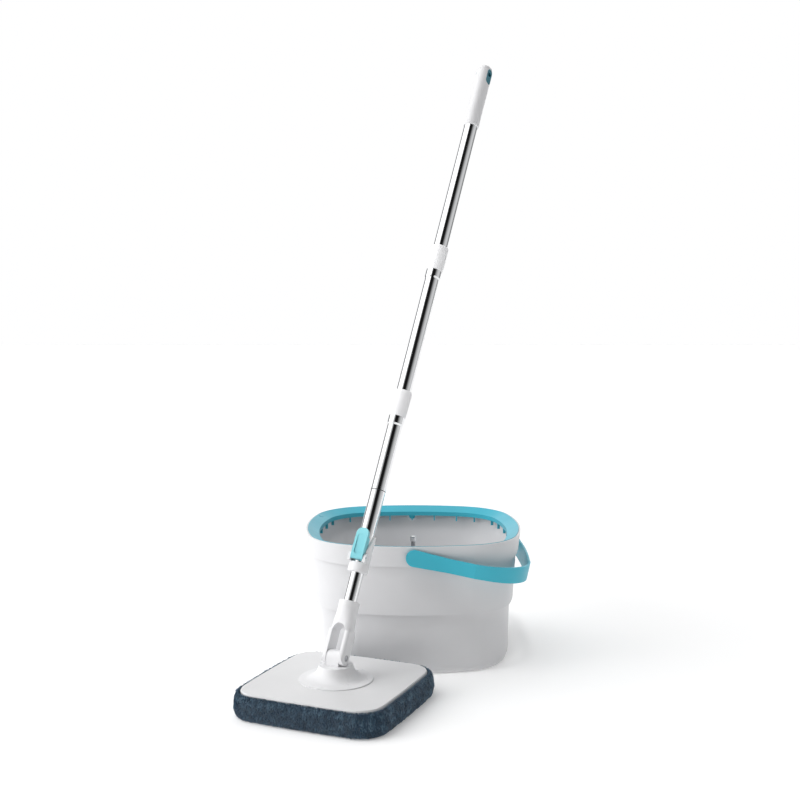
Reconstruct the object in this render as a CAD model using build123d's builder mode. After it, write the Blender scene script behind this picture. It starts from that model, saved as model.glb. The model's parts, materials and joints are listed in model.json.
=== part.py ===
from build123d import *
import os
from math import sqrt, sin, cos, tan, radians, degrees, pi

os.makedirs("parts", exist_ok=True)

# ---------------------------------------------------------------- dimensions, mm
# bucket: rounded-square plan made of eight tangent arcs
RIM_HALF = 195.2        # half the width at the rim
RIM_REACH = 217.0       # centre to corner at the rim
SIDE_R = 420.0          # radius of each bowed side
RIM_TOP = 227.0         # top of the moulded rim
RING_SEAT = 222.4       # ledge inside the rim that the ring lies on
WALL = 2.5
STEP_Z = 106.0
BAND_Z = 191.5
# carrying handle
BAIL_Z = 208.0
BAIL_HANG = 12.0        # degrees it hangs below level
BAIL_REACH = 205.5
STRAP_T = 3.6
# mop head
HEAD_X, HEAD_Y, HEAD_YAW = -125.5, -319.6, -23.3
PLATE_HALF = 121.0
PLATE_TOP = 42.0
PAD_HALF = 131.0
PAD_TOP = 38.5
# pole
PIN_Z = 78.0
LEAN = 26.375           # degrees from upright
LEAN_AZ = 57.889        # direction the pole leans to
SHAFT_R = 11.0          # inner tube
TUBE_R = 12.5           # outer tubes
TUBE_WALL = 0.8
YOKE_TOP = 89.0
COLLAR_LOW = 137.0
COLLAR_TOP = 201.5
LEVER_PIN_T = 160.0
SEAM_T = 276.4
SHAFT_TOP = 330.0
COUPLER_1 = (406.0, 453.0)
COUPLER_2 = (680.0, 727.0)
GRIP = (974.5, 1103.6)
LEVER_TURN = -80.0      # way the lever faces, degrees round the pole
GRIP_TURN = -4.0        # way the hanging eye faces
STRIP_LEAD = 80.0       # travel for one turn of the twisted strip
RUN = 0.05              # radial running clearance


def outline(half, reach, side_r):
    """Eight arcs (start, middle, end) of a rounded square."""
    d = ((side_r - reach) ** 2 - (side_r - half) ** 2) / (
        sqrt(2) * (side_r - half) - 2 * (side_r - reach)
    )
    cx, cy = half - side_r, 0.0
    kx = ky = d / sqrt(2)
    n = sqrt((kx - cx) ** 2 + (ky - cy) ** 2)
    tx, ty = cx + side_r * (kx - cx) / n, cy + side_r * (ky - cy) / n
    arcs = []
    for k in range(4):
        c, s = cos(k * pi / 2), sin(k * pi / 2)
        turn = lambda p: (p[0] * c - p[1] * s, p[0] * s + p[1] * c)
        arcs.append([turn((tx, -ty)), turn((half, 0)), turn((tx, ty))])
        arcs.append([turn((tx, ty)), turn((reach / sqrt(2), reach / sqrt(2))), turn((ty, tx))])
    return arcs


def bucket_arcs(half):
    t = RIM_HALF - half
    return outline(half, RIM_REACH - t, SIDE_R - t)


def head_arcs(half):
    return outline(half, 153.8 - (PLATE_HALF - half), 2500.0 - (PLATE_HALF - half))


def arcs_face(plane, z, arcs):
    with BuildSketch(plane.offset(z)) as sk:
        with BuildLine():
            for a, b, c in arcs:
                ThreePointArc(a, b, c)
        make_face()
    return sk.sketch.faces()[0]


def bucket_faces(*levels):
    return [arcs_face(Plane.XY, z, bucket_arcs(half)) for z, half in levels]


def head_faces(*levels):
    return [arcs_face(HEAD, z, head_arcs(half)) for z, half in levels]


def profile(plane, *points):
    """Closed (radius, height) profile in the plane that holds the frame's axis."""
    upright = Plane(origin=plane.origin, x_dir=plane.x_dir, z_dir=-plane.y_dir)
    with BuildSketch(upright) as sk:
        with BuildLine():
            Polyline(*points, close=True)
        make_face()
    return sk.sketch.faces()[0]


def axis_of(plane):
    return Axis(plane.origin, plane.z_dir)


# ---------------------------------------------------------------- frames
BASE = Plane.XY
HEAD = Plane(origin=(HEAD_X, HEAD_Y, 0), x_dir=(cos(radians(HEAD_YAW)), sin(radians(HEAD_YAW)), 0), z_dir=(0, 0, 1))
_pin_az = radians(LEAN_AZ - 90)
PIN_DIR = (cos(_pin_az), sin(_pin_az), 0)
BOSS = Plane(origin=(HEAD_X, HEAD_Y, 0), x_dir=PIN_DIR, z_dir=(0, 0, 1))
AXIS_DIR = (
    sin(radians(LEAN)) * cos(radians(LEAN_AZ)),
    sin(radians(LEAN)) * sin(radians(LEAN_AZ)),
    cos(radians(LEAN)),
)
SHAFT = Plane(origin=(HEAD_X, HEAD_Y, PIN_Z), x_dir=PIN_DIR, z_dir=AXIS_DIR)


def turned(plane, angle, t=0.0):
    """The frame turned about its own axis, moved along it by t."""
    a = radians(angle)
    return Plane(
        origin=plane.origin + plane.z_dir * t,
        x_dir=plane.x_dir * cos(a) + plane.y_dir * sin(a),
        z_dir=plane.z_dir,
    )


COLLAR = turned(SHAFT, LEVER_TURN)
GRIPF = turned(SHAFT, GRIP_TURN)

# ================================================================ bucket
with BuildPart() as lower_hollow:
    loft(sections=bucket_faces((3, 171.6), (STEP_Z + 2.5, 173.6)), ruled=True)
    fillet(lower_hollow.edges().group_by(Axis.Z)[0], 9.5)

with BuildPart() as rim_slot:
    loft(sections=bucket_faces((BAND_Z - 1, 188.8), (RING_SEAT - 2.8, 192.0)), ruled=True)
    loft(sections=bucket_faces((BAND_Z - 1, 187.4), (RING_SEAT - 2.8, 189.0)), ruled=True, mode=Mode.SUBTRACT)

with BuildPart() as bucket_shell:
    loft(sections=bucket_faces((0, 174), (STEP_Z, 176)), ruled=True)
    fillet(bucket_shell.edges().group_by(Axis.Z)[0], 12)
    loft(sections=bucket_faces((STEP_Z, 182.5), (BAND_Z, 187.0)), ruled=True)
    loft(sections=bucket_faces((BAND_Z, 191.2), (RIM_TOP, 195.2)), ruled=True)
    add(lower_hollow.part, mode=Mode.SUBTRACT)
    loft(sections=bucket_faces((STEP_Z + 2.5, 180.0), (RIM_TOP, 186.4)), ruled=True, mode=Mode.SUBTRACT)
    # turned-over rim: the band hangs clear of the wall
    add(rim_slot.part, mode=Mode.SUBTRACT)
    # ledge for the ring, inside the lip
    loft(sections=bucket_faces((RING_SEAT, 192.4), (RIM_TOP + 1, 192.4)), ruled=True, mode=Mode.SUBTRACT)
    # bosses that carry the handle's pins, front and back
    with BuildSketch(Plane.XZ.offset(185.1)):
        with Locations((0, BAIL_Z)):
            Circle(10.5)
    extrude(amount=8.2)
    with BuildSketch(Plane.XZ.offset(-193.3)):
        with Locations((0, BAIL_Z)):
            Circle(10.5)
    extrude(amount=8.2)
    with BuildSketch(Plane.XZ.offset(-220)):
        with Locations((0, BAIL_Z)):
            Circle(6 + RUN)
    extrude(amount=440, mode=Mode.SUBTRACT)
bucket_shell.part.label = "bucket_shell"
export_step(bucket_shell.part, "parts/bucket_shell.step")

with BuildPart() as rim_ring:
    loft(sections=bucket_faces((RING_SEAT, 192.2), (RIM_TOP + 0.6, 192.0)), ruled=True)
    # bead that locates the ring inside the wall
    loft(sections=bucket_faces((RING_SEAT - 3.2, 184.6), (RING_SEAT, 184.6)), ruled=True)
    loft(sections=bucket_faces((RING_SEAT - 5, 182.6), (RING_SEAT - 2.6, 182.6)), ruled=True, mode=Mode.SUBTRACT)
    # skirt, and the underside that follows the top
    loft(sections=bucket_faces((217.1, 178.4), (RING_SEAT - 2.6, 178.4)), ruled=True)
    loft(sections=bucket_faces((210.6, 173.6), (RING_SEAT, 173.6)), ruled=True)
    # the top falls toward the opening
    loft(sections=bucket_faces((217.0, 168.0), (RIM_TOP + 0.61, 191.4)), ruled=True, mode=Mode.SUBTRACT)
    # upright ribs round the skirt
    for quarter in range(4):
        for place in (-124, -88, -44, 0, 44, 88, 124):
            lean = place / 398.0
            with Locations(
                Location((0, 0, 0), (0, 0, 90 * quarter))
                * Location((RIM_HALF - SIDE_R, 0, 209.5), (0, 0, degrees(lean)))
                * Location((SIDE_R - 21.4, 0, 0))
            ):
                Box(5.0, 2.2, 17)
    loft(sections=bucket_faces((195, 171.4), (RIM_TOP + 3, 171.4)), ruled=True, mode=Mode.SUBTRACT)
rim_ring.part.label = "rim_ring"
export_step(rim_ring.part, "parts/rim_ring.step")

with BuildPart() as spindle_base:
    with BuildSketch(Plane.XZ):
        with BuildLine():
            Polyline((0, 3), (36, 3), (36, 6), (22, 14), (16, 52), (14, 55), (0, 55), close=True)
        make_face()
    revolve(axis=Axis.Z)
    with BuildSketch(Plane.XY.offset(14)):
        Circle(7)
    extrude(amount=60, mode=Mode.SUBTRACT)
    with BuildSketch(Plane.XY.offset(8)):
        Circle(4.6)
    extrude(amount=10, mode=Mode.SUBTRACT)
    with PolarLocations(28, 4, start_angle=45):
        Cylinder(2.2, 40, align=(Align.CENTER, Align.CENTER, Align.CENTER), mode=Mode.SUBTRACT)
        with Locations((0, 0, 7)):
            Cylinder(4.2, 20, align=(Align.CENTER, Align.CENTER, Align.MIN), mode=Mode.SUBTRACT)
spindle_base.part.label = "spindle_base"
export_step(spindle_base.part, "parts/spindle_base.step")

with BuildPart() as base_screws:
    with PolarLocations(28, 4, start_angle=45):
        with Locations((0, 0, 3)):
            Cylinder(2.2, 4.0, align=(Align.CENTER, Align.CENTER, Align.MIN))
        with Locations((0, 0, 7.0)):
            Cylinder(3.8, 2.4, align=(Align.CENTER, Align.CENTER, Align.MIN))
base_screws.part.label = "base_screws"
export_step(base_screws.part, "parts/base_screws.step")

with BuildPart() as spindle_bearing:
    with BuildSketch(Plane.XY.offset(14)):
        Circle(7)
        Circle(4 + RUN, mode=Mode.SUBTRACT)
    extrude(amount=43)
    with BuildSketch(Plane.XY.offset(55)):
        Circle(10)
        Circle(4 + RUN, mode=Mode.SUBTRACT)
    extrude(amount=2)
spindle_bearing.part.label = "spindle_bearing"
export_step(spindle_bearing.part, "parts/spindle_bearing.step")

with BuildPart() as spindle:
    with BuildSketch(Plane.XZ):
        with BuildLine():
            Polyline((0, 8.5), (4, 8.5), (4, 196), (3, 196), (3, 201), (0, 201), close=True)
        make_face()
    revolve(axis=Axis.Z)
spindle.part.label = "spindle"
export_step(spindle.part, "parts/spindle.step")

with BuildPart() as spindle_cap:
    with BuildSketch(Plane.XY.offset(196)):
        RegularPolygon(5.6, 6)
    extrude(amount=9)
    fillet(spindle_cap.edges().group_by(Axis.Z)[-1], 1.6)
    with BuildSketch(Plane.XY.offset(190)):
        Circle(3)
    extrude(amount=11, mode=Mode.SUBTRACT)
spindle_cap.part.label = "spindle_cap"
export_step(spindle_cap.part, "parts/spindle_cap.step")

with BuildPart() as spindle_collar:
    with BuildSketch(Plane.XY.offset(57.4)):
        Circle(8)
        Circle(4, mode=Mode.SUBTRACT)
    extrude(amount=5)
    fillet(spindle_collar.edges().group_by(Axis.Z)[-1].sort_by(SortBy.RADIUS)[-1], 1)
spindle_collar.part.label = "spindle_collar"
export_step(spindle_collar.part, "parts/spindle_collar.step")

# ---------------------------------------------------------------- carrying handle
BAIL = Plane(
    origin=(0, 0, BAIL_Z),
    x_dir=(cos(radians(BAIL_HANG)), 0, -sin(radians(BAIL_HANG))),
    z_dir=(sin(radians(BAIL_HANG)), 0, cos(radians(BAIL_HANG))),
)
BAIL_Y = 197.3          # middle of the strap at the pivots
with BuildPart() as bail_handle:
    with BuildSketch(BAIL.offset(-18)):
        with BuildLine():
            Line((-16, -BAIL_Y - STRAP_T / 2), (104, -BAIL_Y - STRAP_T / 2 - 3))
            ThreePointArc((104, -BAIL_Y - STRAP_T / 2 - 3), (178.5, -164.5), (BAIL_REACH + STRAP_T / 2, -84))
            ThreePointArc((BAIL_REACH + STRAP_T / 2, -84), (BAIL_REACH + STRAP_T / 2 + 3, 0), (BAIL_REACH + STRAP_T / 2, 84))
            ThreePointArc((BAIL_REACH + STRAP_T / 2, 84), (178.5, 164.5), (104, BAIL_Y + STRAP_T / 2 + 3))
            Line((104, BAIL_Y + STRAP_T / 2 + 3), (-16, BAIL_Y + STRAP_T / 2))
            Line((-16, BAIL_Y + STRAP_T / 2), (-16, BAIL_Y - STRAP_T / 2))
            Line((-16, BAIL_Y - STRAP_T / 2), (104, BAIL_Y - STRAP_T / 2 + 3))
            ThreePointArc((104, BAIL_Y - STRAP_T / 2 + 3), (176.0, 161.9), (BAIL_REACH - STRAP_T / 2, 84))
            ThreePointArc((BAIL_REACH - STRAP_T / 2, 84), (BAIL_REACH - STRAP_T / 2 + 3, 0), (BAIL_REACH - STRAP_T / 2, -84))
            ThreePointArc((BAIL_REACH - STRAP_T / 2, -84), (176.0, -161.9), (104, -BAIL_Y + STRAP_T / 2 - 3))
            Line((104, -BAIL_Y + STRAP_T / 2 - 3), (-16, -BAIL_Y + STRAP_T / 2))
            Line((-16, -BAIL_Y + STRAP_T / 2), (-16, -BAIL_Y - STRAP_T / 2))
        make_face()
    extrude(amount=36)
    # side shape of the strap: round ends, waisted arms, deeper grip
    with BuildSketch(Plane(origin=BAIL.origin, x_dir=BAIL.x_dir, z_dir=-BAIL.y_dir).offset(-230)):
        Circle(14.4)
        with BuildLine():
            Polyline((0, 14.4), (60, 12.0), (120, 12.2), (175, 14.0), (235, 15.5), (235, -15.5), (175, -14.0), (120, -12.2), (60, -12.0), (0, -14.4), close=True)
        make_face()
    extrude(amount=460, mode=Mode.INTERSECT)
    # stub pins
    with BuildSketch(Plane.XZ.offset(181.0)):
        with Locations((0, BAIL_Z)):
            Circle(6)
    extrude(amount=15.4)
    with BuildSketch(Plane.XZ.offset(-196.4)):
        with Locations((0, BAIL_Z)):
            Circle(6)
    extrude(amount=15.4)
bail_handle.part.label = "bail_handle"
export_step(bail_handle.part, "parts/bail_handle.step")

with BuildPart() as bail_clips:
    with BuildSketch(Plane.XZ.offset(181.6)):
        with Locations((0, BAIL_Z)):
            Circle(10)
    extrude(amount=3.0)
    with BuildSketch(Plane.XZ.offset(-184.6)):
        with Locations((0, BAIL_Z)):
            Circle(10)
    extrude(amount=3.0)
    with BuildSketch(Plane.XZ.offset(-220)):
        with Locations((0, BAIL_Z)):
            Circle(6)
    extrude(amount=440, mode=Mode.SUBTRACT)
bail_clips.part.label = "bail_clips"
export_step(bail_clips.part, "parts/bail_clips.step")

# ================================================================ mop head
with BuildPart() as mop_plate:
    loft(sections=head_faces((16, 118.5), (39.5, 121.0)), ruled=True)
    loft(sections=head_faces((39.5, 121.0), (PLATE_TOP, 119.6)), ruled=True)
    # hollow underside with a post in the middle
    loft(sections=head_faces((15, 115.5), (38.5, 118.0)), ruled=True, mode=Mode.SUBTRACT)
    with BuildSketch(HEAD.offset(16)):
        Circle(62)
        Circle(59, mode=Mode.SUBTRACT)
        Circle(24)
    extrude(amount=23)
    # crossed ribs
    with BuildSketch(HEAD.offset(22)):
        with GridLocations(0, 60, 1, 3):
            Rectangle(234, 2)
        with GridLocations(60, 0, 3, 1):
            Rectangle(2, 234)
    extrude(amount=17)
    # socket for the spindle
    with BuildSketch(HEAD.offset(14)):
        RegularPolygon(9.0, 6)
    extrude(amount=21, mode=Mode.SUBTRACT)
    # screw holes under the boss
    with BuildSketch(BOSS.offset(14)):
        with PolarLocations(44, 4, start_angle=45):
            Circle(1.75)
    extrude(amount=40, mode=Mode.SUBTRACT)
mop_plate.part.label = "mop_plate"
export_step(mop_plate.part, "parts/mop_plate.step")

with BuildPart() as hub_socket:
    with BuildSketch(HEAD.offset(14)):
        RegularPolygon(9.0, 6)
        RegularPolygon(6.2, 6, mode=Mode.SUBTRACT)
    extrude(amount=19)
    with BuildSketch(HEAD.offset(33)):
        RegularPolygon(9.0, 6)
    extrude(amount=2)
hub_socket.part.label = "hub_socket"
export_step(hub_socket.part, "parts/hub_socket.step")

with BuildPart() as pad_backing:
    loft(sections=head_faces((14, 117.5), (16, 117.5)), ruled=True)
    with BuildSketch(HEAD.offset(13)):
        Circle(24)
    extrude(amount=4, mode=Mode.SUBTRACT)
pad_backing.part.label = "pad_backing"
export_step(pad_backing.part, "parts/pad_backing.step")

with BuildPart() as microfibre_pad:
    loft(sections=head_faces((0, 128.0), (12, 131.0)), ruled=True)
    loft(sections=head_faces((12, 131.0), (27, 131.0)), ruled=True)
    loft(sections=head_faces((27, 131.0), (PAD_TOP, 127.0)), ruled=True)
    loft(sections=head_faces((14, 120.0), (39.5, 122.0)), ruled=True, mode=Mode.SUBTRACT)
    with BuildSketch(HEAD.offset(-1)):
        Circle(24.5)
    extrude(amount=17, mode=Mode.SUBTRACT)
microfibre_pad.part.label = "microfibre_pad"
export_step(microfibre_pad.part, "parts/microfibre_pad.step")

# ---------------------------------------------------------------- pivot boss
TONGUE = 23.4           # width between the yoke's arms, less clearance
with BuildPart() as pivot_boss:
    with BuildSketch(Plane(origin=BOSS.origin, x_dir=BOSS.x_dir, z_dir=-BOSS.y_dir)):
        with BuildLine():
            Line((0, PLATE_TOP), (59, PLATE_TOP))
            Line((59, PLATE_TOP), (59, PLATE_TOP + 1.6))
            Line((59, PLATE_TOP + 1.6), (51, PLATE_TOP + 2.2))
            ThreePointArc((51, PLATE_TOP + 2.2), (35.2, PLATE_TOP + 8.6), (28.0, PLATE_TOP + 20.5))
            Line((28.0, PLATE_TOP + 20.5), (27.0, 65.6))
            Line((27.0, 65.6), (0, 65.6))
            Line((0, 65.6), (0, PLATE_TOP))
        make_face()
    revolve(axis=Axis(BOSS.origin, BOSS.z_dir))
    # tongue
    with BuildSketch(Plane(origin=BOSS.origin, x_dir=BOSS.y_dir, z_dir=BOSS.x_dir).offset(-TONGUE / 2)):
        with Locations((0, 61)):
            Rectangle(22, 34)
        with Locations((0, PIN_Z)):
            Circle(11)
    extrude(amount=TONGUE)
    with BuildSketch(Plane(origin=BOSS.origin, x_dir=BOSS.y_dir, z_dir=BOSS.x_dir).offset(-30)):
        with Locations((0, PIN_Z)):
            Circle(3.5 + RUN)
    extrude(amount=60, mode=Mode.SUBTRACT)
    # blind holes for the screws
    with BuildSketch(BOSS.offset(PLATE_TOP - 1)):
        with PolarLocations(44, 4, start_angle=45):
            Circle(1.75)
    extrude(amount=2.2, mode=Mode.SUBTRACT)
pivot_boss.part.label = "pivot_boss"
export_step(pivot_boss.part, "parts/pivot_boss.step")

with BuildPart() as boss_screws:
    with BuildSketch(BOSS.offset(34)):
        with PolarLocations(44, 4, start_angle=45):
            Circle(1.75)
    extrude(amount=9.2)
    with BuildSketch(BOSS.offset(35.9)):
        with PolarLocations(44, 4, start_angle=45):
            Circle(3.4)
    extrude(amount=2.6)
boss_screws.part.label = "boss_screws"
export_step(boss_screws.part, "parts/boss_screws.step")

# ================================================================ pole, below
ARM_OUT = 20.0
ARM_IN = 12.0
with BuildPart() as yoke:
    with BuildSketch(SHAFT.offset(-12)):
        RectangleRounded(2 * ARM_OUT, 24, 5)
    extrude(amount=54)
    with BuildSketch(Plane(origin=SHAFT.origin, x_dir=SHAFT.y_dir, z_dir=SHAFT.x_dir).offset(-25)):
        Circle(12)
        with Locations((0, 22)):
            Rectangle(24, 44)
    extrude(amount=50, mode=Mode.INTERSECT)
    with BuildSketch(SHAFT.offset(42)):
        RectangleRounded(2 * ARM_OUT, 24, 11.9)
    with BuildSketch(SHAFT.offset(80)):
        Circle(16.2)
    loft()
    with BuildSketch(SHAFT.offset(80)):
        Circle(17.0)
    extrude(amount=YOKE_TOP - 80)
    # arch between the arms, open front and back
    with BuildSketch(Plane(origin=SHAFT.origin, x_dir=SHAFT.x_dir, z_dir=-SHAFT.y_dir).offset(-30)):
        with Locations((0, 10)):
            Rectangle(2 * ARM_IN, 60)
        with Locations((0, 40)):
            Circle(ARM_IN)
    extrude(amount=60, mode=Mode.SUBTRACT)
    # socket for the inner tube
    with BuildSketch(SHAFT.offset(64)):
        Circle(SHAFT_R)
    extrude(amount=40, mode=Mode.SUBTRACT)
    # seats for the pin's heads
    with BuildSketch(Plane(origin=SHAFT.origin, x_dir=SHAFT.y_dir, z_dir=SHAFT.x_dir).offset(-30)):
        Circle(3.5)
    extrude(amount=60, mode=Mode.SUBTRACT)
    with BuildSketch(Plane(origin=SHAFT.origin, x_dir=SHAFT.y_dir, z_dir=SHAFT.x_dir).offset(18)):
        Circle(5)
    extrude(amount=6, mode=Mode.SUBTRACT)
    with BuildSketch(Plane(origin=SHAFT.origin, x_dir=SHAFT.y_dir, z_dir=SHAFT.x_dir).offset(-24)):
        Circle(5)
    extrude(amount=6, mode=Mode.SUBTRACT)
yoke.part.label = "yoke"
export_step(yoke.part, "parts/yoke.step")

with BuildPart() as yoke_pin:
    with BuildSketch(Plane(origin=SHAFT.origin, x_dir=SHAFT.y_dir, z_dir=SHAFT.x_dir).offset(-18)):
        Circle(3.5)
    extrude(amount=36)
    with BuildSketch(Plane(origin=SHAFT.origin, x_dir=SHAFT.y_dir, z_dir=SHAFT.x_dir).offset(18)):
        Circle(5)
    extrude(amount=1.4)
    with BuildSketch(Plane(origin=SHAFT.origin, x_dir=SHAFT.y_dir, z_dir=SHAFT.x_dir).offset(-19.4)):
        Circle(5)
    extrude(amount=1.4)
yoke_pin.part.label = "yoke_pin"
export_step(yoke_pin.part, "parts/yoke_pin.step")

with BuildPart() as lower_shaft:
    with BuildSketch(SHAFT.offset(64)):
        Circle(SHAFT_R)
        Circle(SHAFT_R - TUBE_WALL, mode=Mode.SUBTRACT)
    extrude(amount=SHAFT_TOP - 64)
lower_shaft.part.label = "lower_shaft"
export_step(lower_shaft.part, "parts/lower_shaft.step")

with BuildPart() as drive_nut:
    with BuildSketch(SHAFT.offset(SHAFT_TOP - 5)):
        Circle(SHAFT_R - TUBE_WALL)
    extrude(amount=5)
    with BuildSketch(SHAFT.offset(SHAFT_TOP)):
        Circle(SHAFT_R)
    extrude(amount=1.5)
    # slot for the strip: narrow land, relieved above and below
    with BuildSketch(SHAFT.offset(SHAFT_TOP - 6)):
        Circle(5.2)
    extrude(amount=4, mode=Mode.SUBTRACT)
    with BuildSketch(SHAFT.offset(SHAFT_TOP - 3)):
        Rectangle(8.8, 3.0)
    extrude(amount=6, mode=Mode.SUBTRACT)
    with BuildSketch(SHAFT.offset(SHAFT_TOP + 0.5)):
        Circle(5.2)
    extrude(amount=2, mode=Mode.SUBTRACT)
drive_nut.part.label = "drive_nut"
export_step(drive_nut.part, "parts/drive_nut.step")

# ---------------------------------------------------------------- gliding ring
with BuildPart() as glide_ring:
    with BuildSketch(SHAFT.offset(COLLAR_LOW + 3.1)):
        Circle(14.0 - RUN)
        Circle(SHAFT_R + RUN, mode=Mode.SUBTRACT)
    extrude(amount=5.8)
glide_ring.part.label = "glide_ring"
export_step(glide_ring.part, "parts/glide_ring.step")

# ================================================================ handle
with BuildPart() as lock_collar:
    revolve(
        profiles=profile(
            COLLAR,
            (0, COLLAR_LOW), (15.6, COLLAR_LOW), (16.6, COLLAR_LOW + 1.2), (16.8, COLLAR_LOW + 14),
            (16.2, COLLAR_LOW + 16), (16.0, COLLAR_TOP - 2), (15.0, COLLAR_TOP), (0, COLLAR_TOP),
        ),
        axis=axis_of(COLLAR),
    )
    # cheeks either side of the lever's foot
    with BuildSketch(COLLAR.offset(LEVER_PIN_T - 7)):
        with Locations((9.5, 0)):
            Rectangle(19, 31)
    extrude(amount=13)
    # slope down the flanks, and room for the lever
    with BuildSketch(Plane(origin=COLLAR.origin, x_dir=COLLAR.x_dir, z_dir=-COLLAR.y_dir).offset(-30)):
        with BuildLine():
            Polyline(
                (19.5, LEVER_PIN_T + 2), (11, LEVER_PIN_T + 14), (1.5, COLLAR_TOP - 4),
                (-10, COLLAR_TOP + 3), (40, COLLAR_TOP + 3), (40, LEVER_PIN_T - 4), close=True,
            )
        make_face()
    extrude(amount=60, mode=Mode.SUBTRACT)
    with BuildSketch(Plane(origin=COLLAR.origin, x_dir=COLLAR.x_dir, z_dir=-COLLAR.y_dir).offset(-10.9)):
        with BuildLine():
            Polyline((4, COLLAR_LOW + 15.5), (40, COLLAR_LOW + 15.5), (40, COLLAR_TOP + 5), (4, COLLAR_TOP + 5), close=True)
        make_face()
    extrude(amount=21.8, mode=Mode.SUBTRACT)
    # bores: lip, ring seat, tube
    with BuildSketch(COLLAR.offset(COLLAR_LOW - 1)):
        Circle(SHAFT_R + 0.5)
    extrude(amount=90, mode=Mode.SUBTRACT)
    with BuildSketch(COLLAR.offset(COLLAR_LOW + 3)):
        Circle(14.0)
    extrude(amount=6, mode=Mode.SUBTRACT)
    with BuildSketch(COLLAR.offset(COLLAR_LOW + 12)):
        Circle(TUBE_R)
    extrude(amount=90, mode=Mode.SUBTRACT)
    # lever pin hole
    with BuildSketch(Plane(origin=COLLAR.origin, x_dir=COLLAR.x_dir, z_dir=-COLLAR.y_dir).offset(-30)):
        with Locations((16.9, LEVER_PIN_T)):
            Circle(1.6)
    extrude(amount=60, mode=Mode.SUBTRACT)
lock_collar.part.label = "lock_collar"
export_step(lock_collar.part, "parts/lock_collar.step")

with BuildPart() as lever_pin:
    with BuildSketch(Plane(origin=COLLAR.origin, x_dir=COLLAR.x_dir, z_dir=-COLLAR.y_dir).offset(-15.9)):
        with Locations((16.9, LEVER_PIN_T)):
            Circle(1.6)
    extrude(amount=31.8)
lever_pin.part.label = "lever_pin"
export_step(lever_pin.part, "parts/lever_pin.step")

with BuildPart() as lock_lever:
    with BuildSketch(Plane(origin=COLLAR.origin, x_dir=COLLAR.x_dir, z_dir=-COLLAR.y_dir).offset(-10.5)):
        with BuildLine():
            Polyline(
                (12.95, LEVER_PIN_T), (20.95, LEVER_PIN_T), (21.3, LEVER_PIN_T + 10), (20.6, LEVER_PIN_T + 24),
                (18.9, LEVER_PIN_T + 44), (17.2, LEVER_PIN_T + 48.5), (15.0, LEVER_PIN_T + 48.5), (12.95, LEVER_PIN_T + 46), close=True,
            )
        make_face()
        with Locations((16.9, LEVER_PIN_T)):
            Circle(4.0)
    extrude(amount=21)
    # rounded top
    with BuildSketch(Plane(origin=COLLAR.origin, x_dir=COLLAR.y_dir, z_dir=COLLAR.x_dir)):
        with Locations((0, LEVER_PIN_T + 38.5)):
            Circle(10.4)
        with Locations((0, LEVER_PIN_T + 14)):
            Rectangle(20.8, 49)
    extrude(amount=40, mode=Mode.INTERSECT)
    # flanks that hug the tube
    with BuildSketch(Plane(origin=COLLAR.origin, x_dir=COLLAR.y_dir, z_dir=COLLAR.x_dir).offset(6)):
        with Locations((9.6, LEVER_PIN_T + 22), (-9.6, LEVER_PIN_T + 22)):
            Rectangle(1.6, 24)
    extrude(amount=10)
    # shallow finger panel
    with BuildSketch(Plane(origin=COLLAR.origin, x_dir=COLLAR.y_dir, z_dir=COLLAR.x_dir).offset(19.2)):
        with Locations((0, LEVER_PIN_T + 21)):
            RectangleRounded(13, 34, 5)
    extrude(amount=10, mode=Mode.SUBTRACT)
    # clear of the tube
    with BuildSketch(COLLAR.offset(LEVER_PIN_T - 20)):
        Circle(TUBE_R + 0.35)
    extrude(amount=90, mode=Mode.SUBTRACT)
    with BuildSketch(Plane(origin=COLLAR.origin, x_dir=COLLAR.x_dir, z_dir=-COLLAR.y_dir).offset(-30)):
        with Locations((16.9, LEVER_PIN_T)):
            Circle(1.6 + RUN)
    extrude(amount=60, mode=Mode.SUBTRACT)
lock_lever.part.label = "lock_lever"
export_step(lock_lever.part, "parts/lock_lever.step")


def tube_face(low, high, flare):
    """Half section of a tube, its top opened out to take a coupler."""
    r, w = TUBE_R, TUBE_WALL
    if flare:
        return profile(
            COLLAR, (r - w, low), (r, low), (r, high - 16), (r + 1.3, high - 13), (r + 1.3, high),
            (r + 0.1, high), (r + 0.1, high - 12.5), (r - w, high - 15.5),
        )
    return profile(COLLAR, (r - w, low), (r, low), (r, high), (r - w, high))


with BuildPart() as outer_sleeve:
    revolve(profiles=tube_face(COLLAR_LOW + 12, COUPLER_1[0] + 1, True), axis=axis_of(COLLAR))
    revolve(
        profiles=profile(COLLAR, (12.1, SEAM_T - 0.6), (13, SEAM_T - 0.6), (13, SEAM_T + 0.6), (12.1, SEAM_T + 0.6)),
        axis=axis_of(COLLAR), mode=Mode.SUBTRACT,
    )
outer_sleeve.part.label = "outer_sleeve"
export_step(outer_sleeve.part, "parts/outer_sleeve.step")

with BuildPart() as seam_ring:
    revolve(
        profiles=profile(COLLAR, (12.1, SEAM_T - 0.6), (12.55, SEAM_T - 0.6), (12.55, SEAM_T + 0.6), (12.1, SEAM_T + 0.6)),
        axis=axis_of(COLLAR),
    )
seam_ring.part.label = "seam_ring"
export_step(seam_ring.part, "parts/seam_ring.step")

with BuildPart() as tube_middle:
    revolve(profiles=tube_face(COUPLER_1[1] - 20, COUPLER_2[0] + 1, True), axis=axis_of(COLLAR))
tube_middle.part.label = "tube_middle"
export_step(tube_middle.part, "parts/tube_middle.step")

with BuildPart() as tube_upper:
    revolve(profiles=tube_face(COUPLER_2[1] - 20, GRIP[0] + 60, False), axis=axis_of(COLLAR))
tube_upper.part.label = "tube_upper"
export_step(tube_upper.part, "parts/tube_upper.step")


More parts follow.
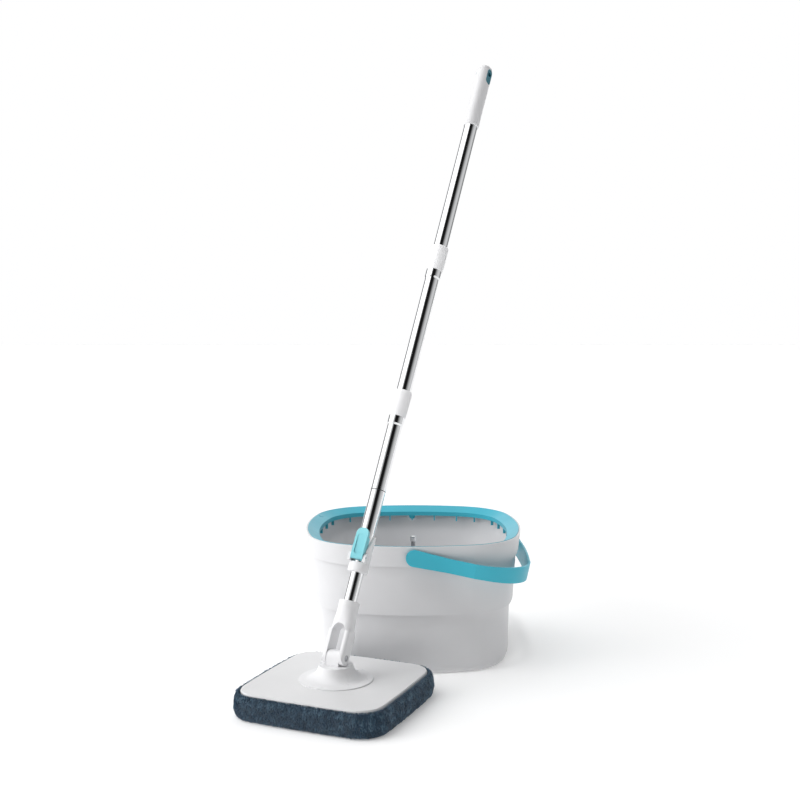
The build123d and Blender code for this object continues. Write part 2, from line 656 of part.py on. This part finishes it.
def coupler_face(low, high):
    """Half section: spigot in the tube below, shoulder, socket for the tube above."""
    return profile(
        COLLAR,
        (10.2, low - 11), (12.5, low - 11), (12.5, low + 1), (13.9, low + 1), (14.3, low + 2), (15.4, low + 14),
        (15.6, high - 2), (15.0, high), (12.5, high), (12.5, high - 20), (10.2, high - 20),
    )


with BuildPart() as coupler_lower:
    revolve(profiles=coupler_face(*COUPLER_1), axis=axis_of(COLLAR))
coupler_lower.part.label = "coupler_lower"
export_step(coupler_lower.part, "parts/coupler_lower.step")

with BuildPart() as coupler_upper:
    revolve(profiles=coupler_face(*COUPLER_2), axis=axis_of(COLLAR))
coupler_upper.part.label = "coupler_upper"
export_step(coupler_upper.part, "parts/coupler_upper.step")

# ---------------------------------------------------------------- twisted strip
STRIP_LOW, STRIP_HIGH = 222.0, 392.0
NUT_T = SHAFT_TOP - 1.25
with BuildPart() as twisted_strip:
    steps = 51
    strip_faces = []
    for i in range(steps + 1):
        t = STRIP_LOW + (STRIP_HIGH - STRIP_LOW) * i / steps
        with BuildSketch(turned(SHAFT, 360.0 * (t - NUT_T) / STRIP_LEAD, t)) as cut:
            Rectangle(8.0, 1.8)
        strip_faces.append(cut.sketch.faces()[0])
    loft(sections=strip_faces)
twisted_strip.part.label = "twisted_strip"
export_step(twisted_strip.part, "parts/twisted_strip.step")

with BuildPart() as strip_anchor:
    with BuildSketch(SHAFT.offset(STRIP_HIGH - 8)):
        Circle(TUBE_R - TUBE_WALL)
    extrude(amount=8)
    with BuildSketch(SHAFT.offset(STRIP_HIGH)):
        Circle(6)
    extrude(amount=3)
    add(twisted_strip.part, mode=Mode.SUBTRACT)
strip_anchor.part.label = "strip_anchor"
export_step(strip_anchor.part, "parts/strip_anchor.step")

# ---------------------------------------------------------------- grip
HANG_T = GRIP[1] - 24.0
HOLE_T = HANG_T + 5.0
with BuildPart() as grip:
    revolve(
        profiles=profile(
            GRIPF,
            (0, GRIP[0]), (13.6, GRIP[0]), (14.3, GRIP[0] + 1.5), (14.0, GRIP[0] + 40), (14.6, GRIP[1] - 30),
            (14.2, GRIP[1] - 12), (12.6, GRIP[1] - 5.5), (9.4, GRIP[1] - 2.0), (5.0, GRIP[1] - 0.4), (0, GRIP[1]),
        ),
        axis=axis_of(GRIPF),
    )
    with BuildSketch(GRIPF.offset(GRIP[0] - 1)):
        Circle(TUBE_R)
    extrude(amount=61, mode=Mode.SUBTRACT)
    # slot that takes the hanging eye
    with BuildSketch(Plane(origin=GRIPF.origin, x_dir=GRIPF.y_dir, z_dir=GRIPF.x_dir).offset(-20)):
        with Locations((0, HANG_T)):
            SlotOverall(31, 15, rotation=90)
    extrude(amount=40, mode=Mode.SUBTRACT)
grip.part.label = "grip"
export_step(grip.part, "parts/grip.step")

with BuildPart() as grip_insert:
    with BuildSketch(Plane(origin=GRIPF.origin, x_dir=GRIPF.y_dir, z_dir=GRIPF.x_dir).offset(-12.6)):
        with Locations((0, HANG_T)):
            SlotOverall(31, 15, rotation=90)
        with Locations((0, HOLE_T)):
            Circle(4.2, mode=Mode.SUBTRACT)
    extrude(amount=25.2)
grip_insert.part.label = "grip_insert"
export_step(grip_insert.part, "parts/grip_insert.step")
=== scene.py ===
import json
import math
import random

import bmesh
import bpy
from mathutils import Matrix, Vector, noise


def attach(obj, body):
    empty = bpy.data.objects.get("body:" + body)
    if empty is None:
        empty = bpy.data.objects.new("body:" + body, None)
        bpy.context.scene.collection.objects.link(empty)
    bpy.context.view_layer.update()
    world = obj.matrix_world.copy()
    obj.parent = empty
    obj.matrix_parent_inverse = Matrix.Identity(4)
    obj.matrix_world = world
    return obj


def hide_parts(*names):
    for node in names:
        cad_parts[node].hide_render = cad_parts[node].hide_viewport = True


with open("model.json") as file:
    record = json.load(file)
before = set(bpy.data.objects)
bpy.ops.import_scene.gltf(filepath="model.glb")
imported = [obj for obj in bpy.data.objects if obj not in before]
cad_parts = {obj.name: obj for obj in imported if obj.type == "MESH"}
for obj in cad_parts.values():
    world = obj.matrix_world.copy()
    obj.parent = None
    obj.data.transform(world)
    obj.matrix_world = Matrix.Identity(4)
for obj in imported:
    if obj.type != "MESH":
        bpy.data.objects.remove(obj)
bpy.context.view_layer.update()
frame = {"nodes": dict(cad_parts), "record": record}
rng = random.Random(4127)

# ------------------------------------------------------------------ dimensions, metres
HEAD = Vector((-0.1255, -0.3196, 0.0))
YAW = math.radians(-23.3)
HX = Vector((math.cos(YAW), math.sin(YAW), 0))
HY = Vector((-math.sin(YAW), math.cos(YAW), 0))
LEAN, AZ = math.radians(26.375), math.radians(57.889)
AXIS = Vector((math.sin(LEAN) * math.cos(AZ), math.sin(LEAN) * math.sin(AZ), math.cos(LEAN)))
PIN = Vector((-0.1255, -0.3196, 0.078))


# ------------------------------------------------------------------ materials
def srgb(r, g, b):
    def one(v):
        v /= 255.0
        return v / 12.92 if v <= 0.04045 else ((v + 0.055) / 1.055) ** 2.4
    return (one(r), one(g), one(b), 1.0)


class Mat:
    """A procedural material: colour and roughness from noise, fine bump."""

    def __init__(self, name):
        self.m = bpy.data.materials.new(name)
        self.m.use_nodes = True
        self.t = self.m.node_tree
        self.n, self.l = self.t.nodes, self.t.links
        self.b = self.n["Principled BSDF"]
        self.co = self.n.new("ShaderNodeTexCoord").outputs["Object"]

    def noise(self, scale, detail=4.0, rough=0.55, stretch=None, distort=0.0):
        src = self.co
        if stretch:
            mp = self.n.new("ShaderNodeMapping")
            mp.inputs["Scale"].default_value = stretch
            self.l.new(src, mp.inputs["Vector"])
            src = mp.outputs["Vector"]
        t = self.n.new("ShaderNodeTexNoise")
        t.inputs["Scale"].default_value = scale
        t.inputs["Detail"].default_value = detail
        t.inputs["Roughness"].default_value = rough
        t.inputs["Distortion"].default_value = distort
        self.l.new(src, t.inputs["Vector"])
        return t.outputs["Fac"]

    def ramp(self, fac, stops):
        r = self.n.new("ShaderNodeValToRGB")
        e = r.color_ramp.elements
        while len(e) < len(stops):
            e.new(0.5)
        for k, (pos, col) in enumerate(stops):
            e[k].position = pos
            e[k].color = col if len(col) == 4 else (*col, 1)
        self.l.new(fac, r.inputs["Fac"])
        return r.outputs["Color"]

    def mix(self, fac, a, b, mode="MIX"):
        x = self.n.new("ShaderNodeMix")
        x.data_type = "RGBA"
        x.blend_type = mode
        for sock, v in ((x.inputs["Factor"], fac), (x.inputs["A"], a), (x.inputs["B"], b)):
            if hasattr(v, "is_linked"):
                self.l.new(v, sock)
            else:
                sock.default_value = v
        return x.outputs["Result"]

    def span(self, fac, low, high, a=0.0, b=1.0):
        r = self.n.new("ShaderNodeMapRange")
        r.inputs["From Min"].default_value = a
        r.inputs["From Max"].default_value = b
        r.inputs["To Min"].default_value = low
        r.inputs["To Max"].default_value = high
        self.l.new(fac, r.inputs["Value"])
        return r.outputs["Result"]

    def bump(self, height, strength, distance, under=None):
        k = self.n.new("ShaderNodeBump")
        k.inputs["Strength"].default_value = strength
        k.inputs["Distance"].default_value = distance
        self.l.new(height, k.inputs["Height"])
        if under is not None:
            self.l.new(under, k.inputs["Normal"])
        return k.outputs["Normal"]

    def set(self, **v):
        for k, x in v.items():
            s = self.b.inputs[k.replace("_", " ")]
            if hasattr(x, "is_linked"):
                self.l.new(x, s)
            else:
                s.default_value = x
        return self


def plastic(name, col, dark, rough=(0.28, 0.4), spec=0.5, coat=0.0, grain=900.0, strength=0.10, sss=0.0):
    m = Mat(name)
    big = m.noise(9.0, 3.0)
    fine = m.noise(grain, 3.0, 0.6)
    scuff = m.noise(60.0, 6.0, 0.7, stretch=(1.0, 1.0, 0.25), distort=0.4)
    c = m.mix(m.span(big, 0.0, 1.0, 0.35, 0.65), col, dark)
    rg = m.span(m.mix(0.35, big, scuff), rough[0], rough[1], 0.3, 0.7)
    n = m.bump(fine, strength, 0.00012)
    n = m.bump(scuff, 0.04, 0.0002, n)
    m.set(Base_Color=c, Roughness=rg, Normal=n)
    m.b.inputs["Specular IOR Level"].default_value = spec
    m.b.inputs["Coat Weight"].default_value = coat
    m.b.inputs["Coat Roughness"].default_value = 0.15
    if sss:
        m.b.inputs["Subsurface Weight"].default_value = sss
        m.b.inputs["Subsurface Radius"].default_value = (0.004, 0.004, 0.004)
    return m.m


def metal(name, col, rough, brushed, tint=0.97):
    m = Mat(name)
    streak = m.noise(700.0, 3.0, 0.6, stretch=brushed)
    cloud = m.noise(14.0, 3.0)
    c = m.mix(m.span(streak, 0.0, 1.0, 0.3, 0.7), col, tuple(v * tint for v in col[:3]) + (1,))
    rg = m.span(m.mix(0.4, streak, cloud), rough[0], rough[1], 0.3, 0.7)
    m.set(Base_Color=c, Roughness=rg, Metallic=1.0, Normal=m.bump(streak, 0.05, 0.00004))
    return m.m


M = {
    "white_plastic": plastic("white_moulded", (0.725, 0.725, 0.735, 1), (0.70, 0.70, 0.712, 1), (0.30, 0.42), 0.4),
    "teal_plastic": plastic("teal_moulded", (0.050, 0.420, 0.540, 1), (0.042, 0.385, 0.500, 1), (0.26, 0.38), 0.45),
    "aqua_plastic": plastic("aqua_moulded", (0.235, 0.65, 0.72, 1), (0.205, 0.605, 0.68, 1), (0.22, 0.34), 0.5),
    "eye_plastic": plastic("eye_moulded", (0.035, 0.19, 0.25, 1), (0.03, 0.17, 0.22, 1), (0.26, 0.38), 0.5),
    "grey_plastic": plastic("grey_moulded", (0.13, 0.135, 0.14, 1), (0.11, 0.115, 0.12, 1), (0.4, 0.55), 0.4),
    "black_plastic": plastic("black_moulded", (0.02, 0.02, 0.022, 1), (0.016, 0.016, 0.018, 1), (0.35, 0.5), 0.4),
    "chrome_tube": metal("chromed_tube", (0.86, 0.87, 0.88, 1), (0.07, 0.13), (1.0, 1.0, 0.04)),
    "steel": metal("turned_steel", (0.42, 0.43, 0.45, 1), (0.22, 0.36), (0.2, 0.2, 1.0)),
}

# hooks of the backing sheet
m = Mat("hook_sheet")
cell = m.n.new("ShaderNodeTexVoronoi")
cell.inputs["Scale"].default_value = 620.0
m.l.new(m.co, cell.inputs["Vector"])
m.set(
    Base_Color=m.mix(cell.outputs["Distance"], (0.05, 0.05, 0.055, 1), (0.016, 0.016, 0.018, 1)),
    Roughness=m.span(m.noise(80.0), 0.65, 0.85),
    Normal=m.bump(cell.outputs["Distance"], 0.7, 0.0008),
)
M["hook_sheet"] = m.m

# ------------------------------------------------------------------ CAD nodes get their finish
record = frame["record"]
slot_of = {s["node"]: s["material_slot"] for s in record["subparts"]}


def dress(obj, mat):
    obj.data.materials.clear()
    obj.data.materials.append(mat)


# one white plastic in three brightnesses: the head's and the pole's parts and the plate get brighter copies of the
# bucket's white, painted light standing in for more light on them; the bucket's copy is also a little rougher and
# duller
bucket_white = M["white_plastic"]
M["white_plastic"] = plastic("white_lit_copy_brighter", (0.83, 0.83, 0.84, 1), (0.80, 0.80, 0.812, 1), (0.24, 0.36), 0.45)
FINISH = {
    "bucket_shell": bucket_white,
    "spindle_base": bucket_white,
    # the plate's white: a brighter copy of the bucket's white, painted light
    "mop_plate": plastic("plate_white_lit_copy", (0.78, 0.78, 0.785, 1), (0.76, 0.76, 0.765, 1), (0.28, 0.40), 0.4),
    "bail_handle": plastic("teal_handle", (0.046, 0.50, 0.64, 1), (0.040, 0.465, 0.60, 1), (0.30, 0.42), 0.4),
}

BEVEL = {
    "bucket_shell": 0.0009, "rim_ring": 0.0006, "bail_handle": 0.0009, "mop_plate": 0.0010, "pivot_boss": 0.0006,
    "yoke": 0.0010, "lock_collar": 0.0006, "lock_lever": 0.0008, "grip_insert": 0.0005, "grip": 0.0005,
    "coupler_lower": 0.0004, "coupler_upper": 0.0004, "spindle_base": 0.0005,
}
for name, obj in frame["nodes"].items():
    slot = slot_of[name]
    if name in FINISH:
        dress(obj, FINISH[name])
    elif slot in M:
        dress(obj, M[slot])
    if name in BEVEL:
        bv = obj.modifiers.new("edge", "BEVEL")
        bv.width = BEVEL[name]
        bv.segments = 2
        bv.limit_method = "ANGLE"
        bv.angle_limit = math.radians(38)
        bv.harden_normals = False
        bv.use_clamp_overlap = True

# ------------------------------------------------------------------ microfibre pad
def edge(angle, half):
    """Distance from the middle to the edge of the head's rounded square: bowed sides, round corners."""
    if half < 0.105:
        return edge(angle, 0.105) * half / 0.105
    tip = 0.1538 - (0.121 - half)
    bow = 2.5 - (0.121 - half)
    d = ((bow - tip) ** 2 - (bow - half) ** 2) / (math.sqrt(2) * (bow - half) - 2 * (bow - tip))
    kx = d / math.sqrt(2)
    cx = half - bow
    n = math.hypot(kx - cx, kx)
    turn_at = math.atan2(bow * kx / n, cx + bow * (kx - cx) / n)
    q = abs((angle + math.pi / 4) % (math.pi / 2) - math.pi / 4)
    if q <= turn_at:
        return cx * math.cos(q) + math.sqrt(bow ** 2 - (cx * math.sin(q)) ** 2)
    on = kx * (math.cos(q) + math.sin(q))
    return on + math.sqrt((tip - d) ** 2 - (2 * kx * kx - on * on))


def pad_mesh(name):
    """The pad's firm body: a lofted skin that wraps under and round the plate."""
    bm = bmesh.new()
    around = 288
    # (distance in from the outer edge, height)
    rings = [
        (0.0076, 0.0300), (0.0076, 0.0345), (0.0074, 0.0366), (0.0068, 0.0376), (0.0056, 0.0377), (0.0040, 0.0366),
        (0.0024, 0.0338), (0.0012, 0.0300), (0.0004, 0.0250), (0.0000, 0.0195), (0.0004, 0.0140), (0.0014, 0.0090),
        (0.0032, 0.0048), (0.0060, 0.0018), (0.0100, 0.0004), (0.0160, 0.0000), (0.0400, 0.0000), (0.0800, 0.0000),
        (0.1010, 0.0000), (0.1040, 0.0006), (0.1050, 0.0030), (0.1050, 0.0130),
    ]
    grid = []
    for inset, z in rings:
        row = []
        for k in range(around):
            a = 2 * math.pi * k / around
            out = edge(a, 0.1295 - inset)
            if inset > 0.075:
                f = min(1.0, (inset - 0.075) / 0.028)
                out = out * (1 - f) + (0.1295 - inset) * f
            p = Vector((math.cos(a) * out, math.sin(a) * out, z))
            w = HEAD + HX * p.x + HY * p.y + Vector((0, 0, p.z))
            row.append(bm.verts.new(w))
        grid.append(row)
    for i in range(len(grid) - 1):
        for k in range(around):
            j = (k + 1) % around
            bm.faces.new((grid[i][k], grid[i + 1][k], grid[i + 1][j], grid[i][j]))
    bmesh.ops.recalc_face_normals(bm, faces=bm.faces)
    me = bpy.data.meshes.new(name)
    bm.to_mesh(me)
    bm.free()
    me.polygons.foreach_set("use_smooth", [True] * len(me.polygons))
    o = bpy.data.objects.new(name, me)
    bpy.context.collection.objects.link(o)
    return o


def fabric(name, deep, light, scale, tone=None):
    m = Mat(name)
    clump = m.noise(scale, 4.0, 0.6)
    fleck = m.noise(scale * 7.0, 2.0, 0.6)
    patch = m.noise(26.0, 3.0)
    c = m.mix(m.span(clump, 0.0, 1.0, 0.35, 0.65), deep, light)
    c = m.mix(m.span(fleck, 0.0, 0.5, 0.5, 0.75), c, tuple(min(1.0, v * 1.7) for v in light[:3]) + (1,))
    c = m.mix(m.span(patch, 0.0, 0.35, 0.4, 0.7), c, deep)
    # the tuft attribute mixes random mottle with painted shade at the roots and painted light on the top of the lip
    if tone:
        at = m.n.new("ShaderNodeAttribute")
        at.attribute_name = tone
        dark = tuple(v * 0.55 for v in deep[:3]) + (1,)
        pale = tuple(min(1.0, v * 1.55) for v in light[:3]) + (1,)
        c = m.mix(0.8, c, m.ramp(at.outputs["Fac"], [(0.0, dark), (0.42, deep), (0.72, light), (1.0, pale)]))
    m.set(Base_Color=c, Roughness=m.span(clump, 0.8, 0.95), Normal=m.bump(clump, 0.6, 0.0012))
    m.b.inputs["Sheen Weight"].default_value = 0.25
    m.b.inputs["Sheen Roughness"].default_value = 0.5
    m.b.inputs["Specular IOR Level"].default_value = 0.15
    return m.m


pad = pad_mesh("microfibre_body")
dress(pad, fabric("pile_ground", (0.030, 0.062, 0.104, 1), (0.052, 0.098, 0.150, 1), 420.0))
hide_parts("microfibre_pad")
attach(pad, "head")


def pile(name, count_side, seed):
    """Short limp tufts that cover the pad's side and lip, combed downward."""
    r = random.Random(seed)
    verts, faces, shade = [], [], []
    per = 0.0
    # arc length table round the pad
    table = [0.0]
    steps = 1440
    last = None
    for k in range(steps + 1):
        a = 2 * math.pi * k / steps
        d = edge(a, 0.1295)
        p = (math.cos(a) * d, math.sin(a) * d)
        if last is not None:
            per += math.dist(p, last)
            table.append(per)
        last = p
    prof = [
        (0.0070, 0.0374, 0.6), (0.0060, 0.0376, 0.9), (0.0040, 0.0366, 1.2), (0.0024, 0.0338, 1.45), (0.0012, 0.0300, 1.5),
        (0.0004, 0.0250, 1.55), (0.0000, 0.0195, 1.6), (0.0004, 0.0140, 1.6), (0.0014, 0.0090, 1.7), (0.0032, 0.0052, 1.9), (0.0052, 0.0030, 2.1),
    ]
    plen = [0.0]
    for i in range(1, len(prof)):
        plen.append(plen[-1] + math.dist(prof[i][:2], prof[i - 1][:2]))
    rows = int(plen[-1] / 0.0018)
    cols = int(per / 0.0019)
    idx = 0
    for i in range(rows + 1):
        for j in range(cols):
            s = (j + 0.5 * (i % 2) + r.uniform(-0.45, 0.45)) / cols * per % per
            lo = 0
            hi = steps
            while hi - lo > 1:
                mid = (lo + hi) // 2
                if table[mid] <= s:
                    lo = mid
                else:
                    hi = mid
            a = 2 * math.pi * (lo + (s - table[lo]) / max(1e-9, table[lo + 1] - table[lo] if lo + 1 < len(table) else 1)) / steps
            u = min(plen[-1], max(0.0, (i + r.uniform(-0.45, 0.45)) / rows * plen[-1]))
            q = 0
            while q < len(prof) - 2 and plen[q + 1] < u:
                q += 1
            f = (u - plen[q]) / (plen[q + 1] - plen[q])
            inset = prof[q][0] * (1 - f) + prof[q + 1][0] * f
            z = prof[q][1] * (1 - f) + prof[q + 1][1] * f
            tz, tr = prof[q + 1][1] - prof[q][1], -(prof[q + 1][0] - prof[q][0])
            tl = math.hypot(tz, tr)
            tz, tr = tz / tl, tr / tl
            d = edge(a, 0.1295 - inset)
            d2 = edge(a + 0.01, 0.1295 - inset)
            base = HX * (math.cos(a) * d) + HY * (math.sin(a) * d)
            tang = (HX * (math.cos(a + 0.01) * d2) + HY * (math.sin(a + 0.01) * d2) - base).normalized()
            out2 = Vector((0, 0, 1)).cross(tang) * -1
            p0 = HEAD + base + Vector((0, 0, z))
            normal = (out2 * -tz + Vector((0, 0, 1)) * tr).normalized()
            if normal.dot(out2) < 0 and z < 0.035:
                normal = -normal
            down = (out2 * tr + Vector((0, 0, 1)) * tz)
            # combing: clumps share a direction
            w = noise.noise(p0 * 95.0)
            w2 = noise.noise(p0 * 95.0 + Vector((7.3, 1.1, 4.2)))
            length = r.uniform(0.0036, 0.0062)
            lean = 0.75 + 0.35 * w2 + r.uniform(-0.25, 0.25)
            way = (normal * 0.55 + down * lean + tang * (0.9 * w + r.uniform(-0.35, 0.35))).normalized()
            droop = Vector((0, 0, -1)) * 0.35
            thick = r.uniform(0.0005, 0.00085)
            # tone: random mottle per tuft, plus painted light: tufts high on the lip (z > 0.0315) are made lighter
            tone = min(1.0, max(0.0, 0.38 + 0.75 * noise.noise(p0 * 160.0) + 0.35 * noise.noise(p0 * 60.0) + r.uniform(-0.28, 0.28) + (0.22 if z > 0.0315 else 0.0)))
            side_v = way.cross(normal)
            if side_v.length < 1e-4:
                side_v = tang.copy()
            side_v.normalize()
            up_v = side_v.cross(way).normalized()
            pts = [p0 - normal * 0.0006, p0 + way * (length * 0.5) + normal * 0.0004,
                   p0 + (way + droop).normalized() * length]
            for v in pts:
                if v.z < 0.0006:
                    v.z = 0.0006 + r.uniform(0.0, 0.0006)
            wid = [thick, thick * 1.15, thick * 0.55]
            first = len(verts)
            for part_of, (c, wd) in zip((0.0, 0.55, 1.0), zip(pts, wid)):
                for g in range(3):
                    # painted shade: each tuft is darker towards its root, deep in the pile
                    shade.append(tone * (0.25 + 0.75 * part_of))
                    ang = 2 * math.pi * g / 3
                    verts.append(c + side_v * (math.cos(ang) * wd) + up_v * (math.sin(ang) * wd))
            for lv in range(2):
                for g in range(3):
                    h = (g + 1) % 3
                    b0 = first + lv * 3
                    faces.append((b0 + g, b0 + h, b0 + 3 + h, b0 + 3 + g))
            faces.append((first + 6, first + 7, first + 8))
            idx += 1
    me = bpy.data.meshes.new(name)
    me.from_pydata([tuple(v) for v in verts], [], faces)
    me.update()
    tint = me.color_attributes.new("tuft_tone_and_shade", "FLOAT_COLOR", "POINT")
    tint.data.foreach_set("color", [c for v in shade for c in (v, v, v, 1.0)])
    me.polygons.foreach_set("use_smooth", [True] * len(me.polygons))
    o = bpy.data.objects.new(name, me)
    bpy.context.collection.objects.link(o)
    return o


fibres = pile("microfibre_pile", 0, 91)
dress(fibres, fabric("pile_fibre", (0.042, 0.088, 0.146, 1), (0.120, 0.205, 0.275, 1), 380.0, "tuft_tone_and_shade"))
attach(fibres, "head")

# ------------------------------------------------------------------ room, light, camera
floor_me = bpy.data.meshes.new("floor")
floor_me.from_pydata([(-9, -6, 0), (9, -6, 0), (9, 12, 0), (-9, 12, 0)], [], [(0, 1, 2, 3)])
floor = bpy.data.objects.new("floor", floor_me)
bpy.context.collection.objects.link(floor)
fm = Mat("pale_floor")
fm.set(
    Base_Color=fm.mix(fm.span(fm.noise(1.3, 2.0), 0.0, 1.0, 0.3, 0.7), (0.93, 0.93, 0.93, 1), (0.91, 0.91, 0.91, 1)),
    Roughness=0.85,
)
fm.b.inputs["Specular IOR Level"].default_value = 0.1
fm.b.inputs["Emission Color"].default_value = (1, 1, 1, 1)
fm.b.inputs["Emission Strength"].default_value = 0.24
dress(floor, fm.m)


# Studio surroundings: a cylinder of light about the pole's axis, so each tube shows
# a white side, a black line down its middle and a soft grey side.
world = bpy.data.worlds.new("studio")
bpy.context.scene.world = world
world.use_nodes = True
wn, wl = world.node_tree.nodes, world.node_tree.links
E3 = AXIS
E1 = (Vector((0, -1, 0)) - E3 * Vector((0, -1, 0)).dot(E3)).normalized()
E2 = E3.cross(E1).normalized()
src = wn.new("ShaderNodeTexCoord").outputs["Generated"]


def along(v):
    d = wn.new("ShaderNodeVectorMath")
    d.operation = "DOT_PRODUCT"
    wl.new(src, d.inputs[0])
    d.inputs[1].default_value = tuple(v)
    return d.outputs["Value"]


turn = wn.new("ShaderNodeMath")
turn.operation = "ARCTAN2"
wl.new(along(E2), turn.inputs[0])
wl.new(along(E1), turn.inputs[1])
unit = wn.new("ShaderNodeMapRange")
unit.inputs["From Min"].default_value = -math.pi
unit.inputs["From Max"].default_value = math.pi
wl.new(turn.outputs[0], unit.inputs["Value"])
sky = wn.new("ShaderNodeValToRGB")
sky.color_ramp.interpolation = "LINEAR"
# (degrees round from the front, positive to the right; brightness)
STOPS = [
    (-180, 1.0), (-150, 1.0), (-140, 0.18), (-120, 0.18), (-106, 1.6), (-64, 1.6), (-44, 1.0), (-26, 0.35), (-19, 0.010),
    (18, 0.008), (28, 0.11), (44, 0.40), (62, 0.60), (84, 0.70), (104, 0.50), (118, 0.20), (140, 0.20), (150, 1.0), (180, 1.0),
]
el = sky.color_ramp.elements
while len(el) < len(STOPS):
    el.new(0.5)
for k, (deg, val) in enumerate(STOPS):
    el[k].position = (deg + 180.0) / 360.0
    el[k].color = (val, val, val * 1.004, 1)
wl.new(unit.outputs["Result"], sky.inputs["Fac"])
# the light is kept off the pole's own axis direction, where the turn is undefined
bg = wn["Background"]
wl.new(sky.outputs["Color"], bg.inputs["Color"])
bg.inputs["Strength"].default_value = 1.0


def area(name, pos, target, size, power, size_y=None):
    l = bpy.data.lights.new(name, "AREA")
    l.energy = power
    l.size = size
    if size_y:
        l.shape = "RECTANGLE"
        l.size_y = size_y
    o = bpy.data.objects.new(name, l)
    bpy.context.collection.objects.link(o)
    o.location = pos
    o.rotation_euler = (Vector(target) - Vector(pos)).to_track_quat("-Z", "Y").to_euler()
    return o


key = area("left_key", (-2.2, -0.9, 1.0), (-0.1, 0.0, 0.15), 1.4, 15, 1.4)
key.visible_glossy = False
spot = bpy.data.lights.new("bucket_fill", "SPOT")
spot.energy = 42.0
spot.spot_size = math.radians(20)
spot.spot_blend = 0.6
spot.shadow_soft_size = 0.2
spot_o = bpy.data.objects.new("bucket_fill", spot)
bpy.context.collection.objects.link(spot_o)
spot_o.location = (0.05, -0.55, 1.65)
spot_o.rotation_euler = (Vector((0.0, 0.07, 0.15)) - spot_o.location).to_track_quat("-Z", "Y").to_euler()
spot_o.visible_glossy = False
sun = bpy.data.lights.new("soft_top", "SUN")
sun.energy = 0.50
sun.angle = math.radians(50)
sun_o = bpy.data.objects.new("soft_top", sun)
bpy.context.collection.objects.link(sun_o)
sun_o.rotation_euler = Vector((0.45, 0.25, -1.0)).to_track_quat("-Z", "Y").to_euler()

cam = bpy.data.cameras.new("camera")
cam.lens = 36.0 * 1196.0 / 800.0
cam.sensor_width = 36.0
cam_obj = bpy.data.objects.new("camera", cam)
bpy.context.collection.objects.link(cam_obj)
cam_obj.location = (-0.0241, -2.167, 0.6573)
cam_obj.rotation_euler = (math.radians(90 - 5.30), 0, 0)
bpy.context.scene.camera = cam_obj

bpy.context.scene.view_settings.view_transform = "Standard"
bpy.context.scene.view_settings.look = "None"
